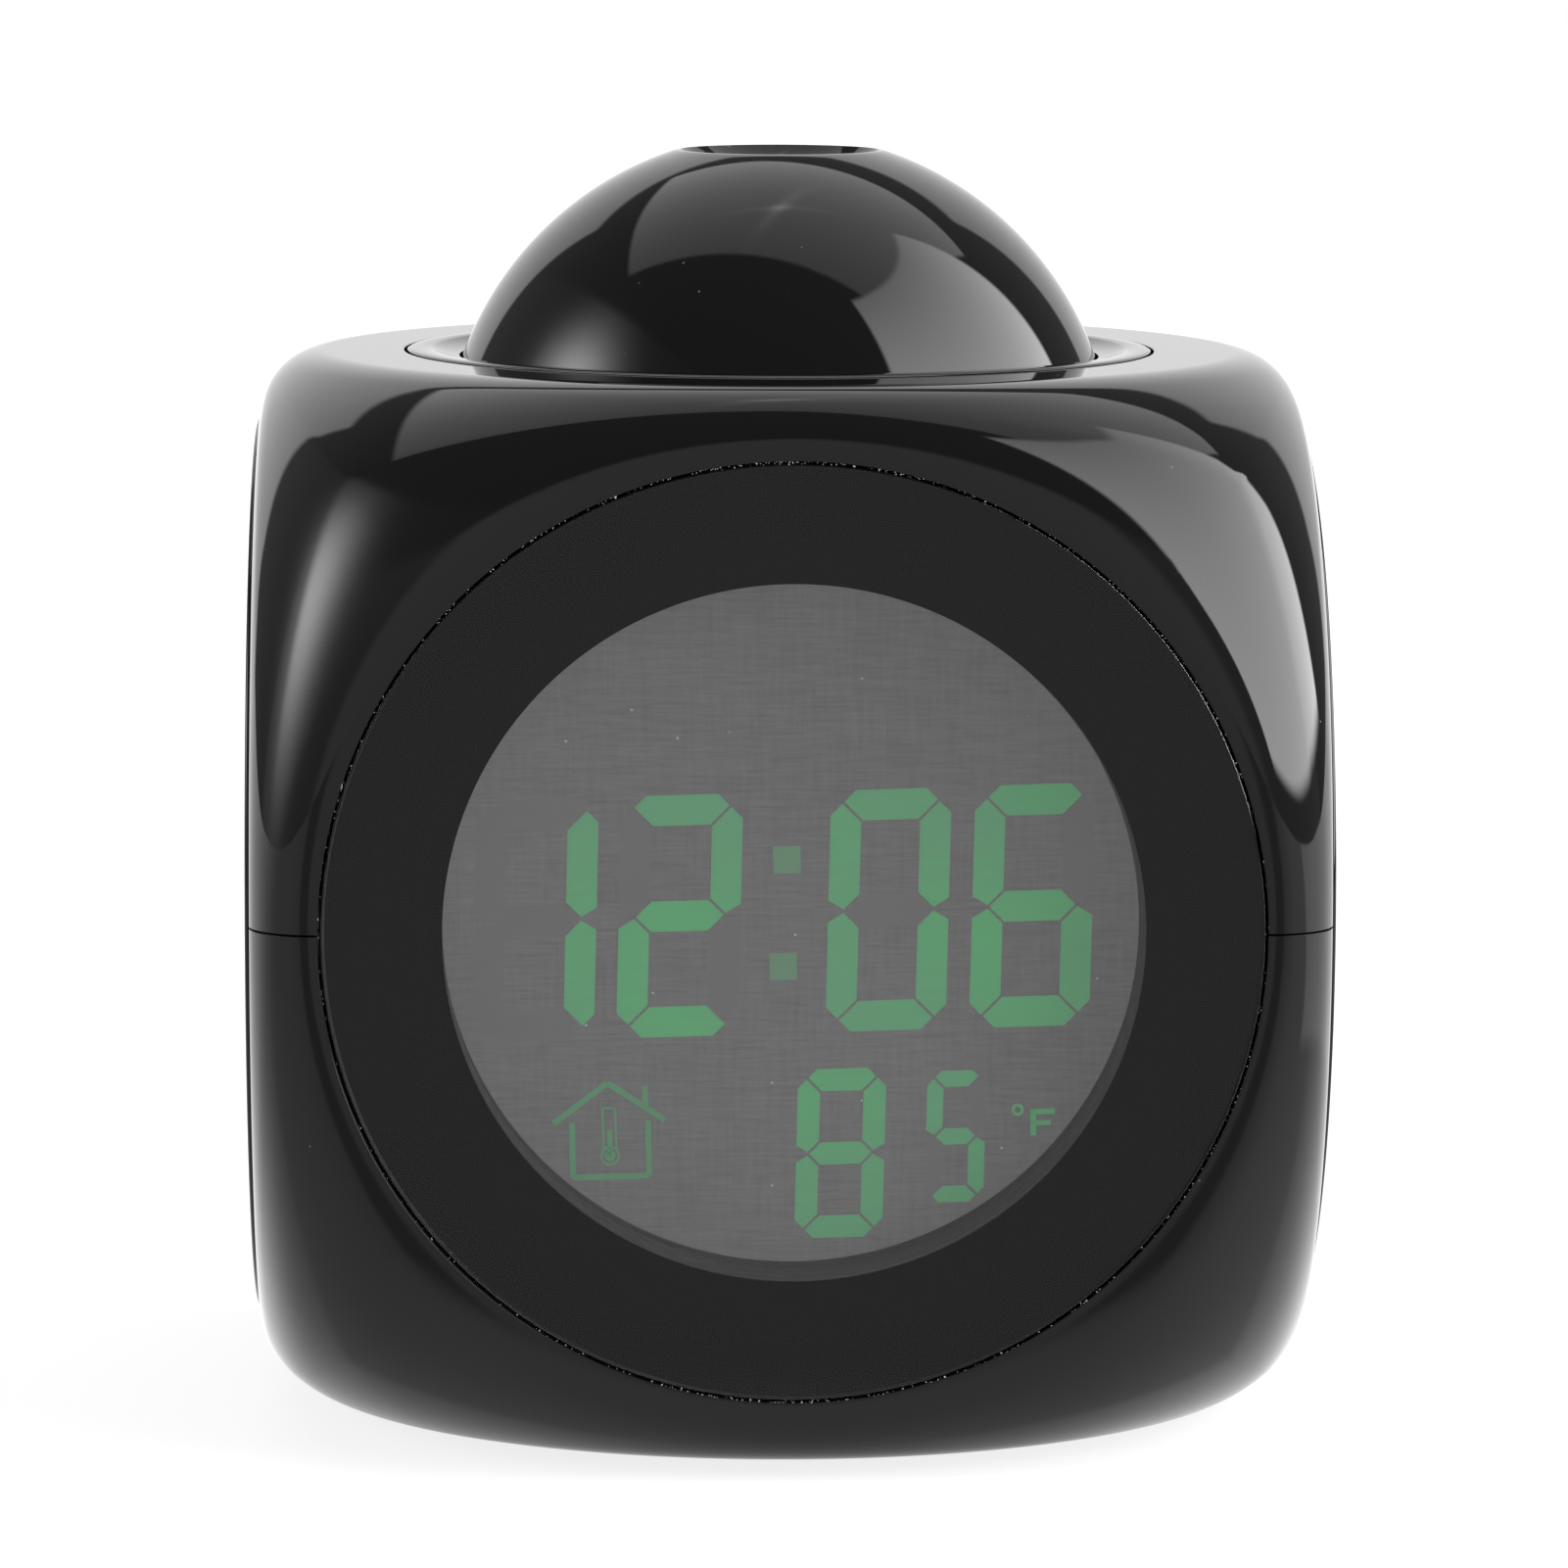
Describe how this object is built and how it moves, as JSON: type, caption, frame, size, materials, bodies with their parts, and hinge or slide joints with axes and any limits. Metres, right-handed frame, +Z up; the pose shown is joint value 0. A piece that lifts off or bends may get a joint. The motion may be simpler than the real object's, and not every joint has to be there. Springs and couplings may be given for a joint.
{
  "type": "projection alarm clock",
  "caption": "Cube-shaped desk alarm clock with a round display window, a pressable top collar and a tilting projector ball.",
  "frame": {"origin": "on the table, under the middle of the clock, at the height of the feet's undersides", "axes": "+Z up, the display faces -Y, the set keys are on the -X side"},
  "size_m": [0.08, 0.0794, 0.0957],
  "materials": {
    "gloss_black": "mirror gloss",
    "matte_black": "fine matte",
    "clear_lens": "polished, edges blacked",
    "lcd_glass": "dark grey, fine brushed look",
    "guide_clear": "clear acrylic",
    "board_green": "solder mask",
    "chip_black": "matte",
    "can_metal": "satin",
    "steel": "zinc plated",
    "spring_steel": "nickel plated",
    "rubber_black": "matte",
    "strip_grey": "striped elastomer",
    "switch_black": "matte",
    "cell_sleeve": "shrink film",
    "cone_paper": "pressed paper",
    "wire_red": "PVC",
    "lamp_white": "translucent",
    "collar_gloss": "mirror gloss"
  },
  "bodies": {
    "case": {"upper_shell": "gloss_black", "lower_shell": "gloss_black", "case_screws": "steel", "feet": "rubber_black", "front_lens": "clear_lens", "lens_mask": "matte_black", "display_bezel": "matte_black", "lcd_panel": "lcd_glass", "light_guide": "guide_clear", "backlight_lamps": "lamp_white", "zebra_strips": "strip_grey", "main_board": "board_green", "board_screws": "steel", "clock_chip": "chip_black", "quartz_crystal": "can_metal", "capacitors": "can_metal", "left_ring": "gloss_black", "right_ring": "gloss_black", "key_plate": "matte_black", "key_board": "board_green", "key_switches": "switch_black", "key_board_screws": "steel", "speaker_grille": "matte_black", "speaker_frame": "steel", "speaker_cone": "cone_paper", "speaker_lead": "wire_red", "rear_panel": "gloss_black", "slide_switch": "switch_black", "switch_board": "board_green", "switch_board_screws": "steel", "snooze_switch": "switch_black", "snooze_board": "board_green", "aaa_cell_1": "cell_sleeve", "aaa_cell_2": "cell_sleeve", "aaa_cell_3": "cell_sleeve", "battery_springs": "spring_steel", "battery_plates": "spring_steel", "battery_lead": "wire_red", "press_springs": "spring_steel"},
    "press_cap": {"press_cap": "collar_gloss"},
    "projector": {"dome_upper": "gloss_black", "dome_lower": "gloss_black", "lens_barrel": "matte_black", "projection_lens": "clear_lens", "condenser_lens": "guide_clear", "time_slide": "lcd_glass", "projector_lamp": "lamp_white", "projector_board": "board_green"},
    "mode_key": {"key_mode": "gloss_black"},
    "set_key": {"key_set": "gloss_black"},
    "up_key": {"key_up": "gloss_black"},
    "down_key": {"key_down": "gloss_black"},
    "slide_knob": {"slide_knob": "matte_black"},
    "battery_door": {"battery_door": "gloss_black"}
  },
  "joints": [
    {"name": "top_press", "type": "slide", "parent": "case", "child": "press_cap", "axis": [0, 0, -1], "range_m": [0, 0.0006], "stiffness_N_per_m": 1500, "springref_m": -0.001, "deforming": ["press_springs"]},
    {"name": "projector_tilt", "type": "hinge", "parent": "press_cap", "child": "projector", "pos_m": [0, 0, 0.0711], "axis": [1, 0, 0], "range_deg": [-45, 45]},
    {"name": "mode_press", "type": "slide", "parent": "case", "child": "mode_key", "axis": [1, 0, 0], "range_m": [0, 0.0005], "stiffness_N_per_m": 1000, "springref_m": -0.0006},
    {"name": "set_press", "type": "slide", "parent": "case", "child": "set_key", "axis": [1, 0, 0], "range_m": [0, 0.0005], "stiffness_N_per_m": 1000, "springref_m": -0.0006},
    {"name": "up_press", "type": "slide", "parent": "case", "child": "up_key", "axis": [1, 0, 0], "range_m": [0, 0.0005], "stiffness_N_per_m": 1000, "springref_m": -0.0006},
    {"name": "down_press", "type": "slide", "parent": "case", "child": "down_key", "axis": [1, 0, 0], "range_m": [0, 0.0005], "stiffness_N_per_m": 1000, "springref_m": -0.0006},
    {"name": "projection_switch", "type": "slide", "parent": "case", "child": "slide_knob", "axis": [0, 0, 1], "range_m": [0, 0.003]},
    {"name": "door_swing", "type": "hinge", "parent": "case", "child": "battery_door", "pos_m": [0, -0.02395, 0.001], "axis": [-1, 0, 0], "range_deg": [0, 90]}
  ]
}
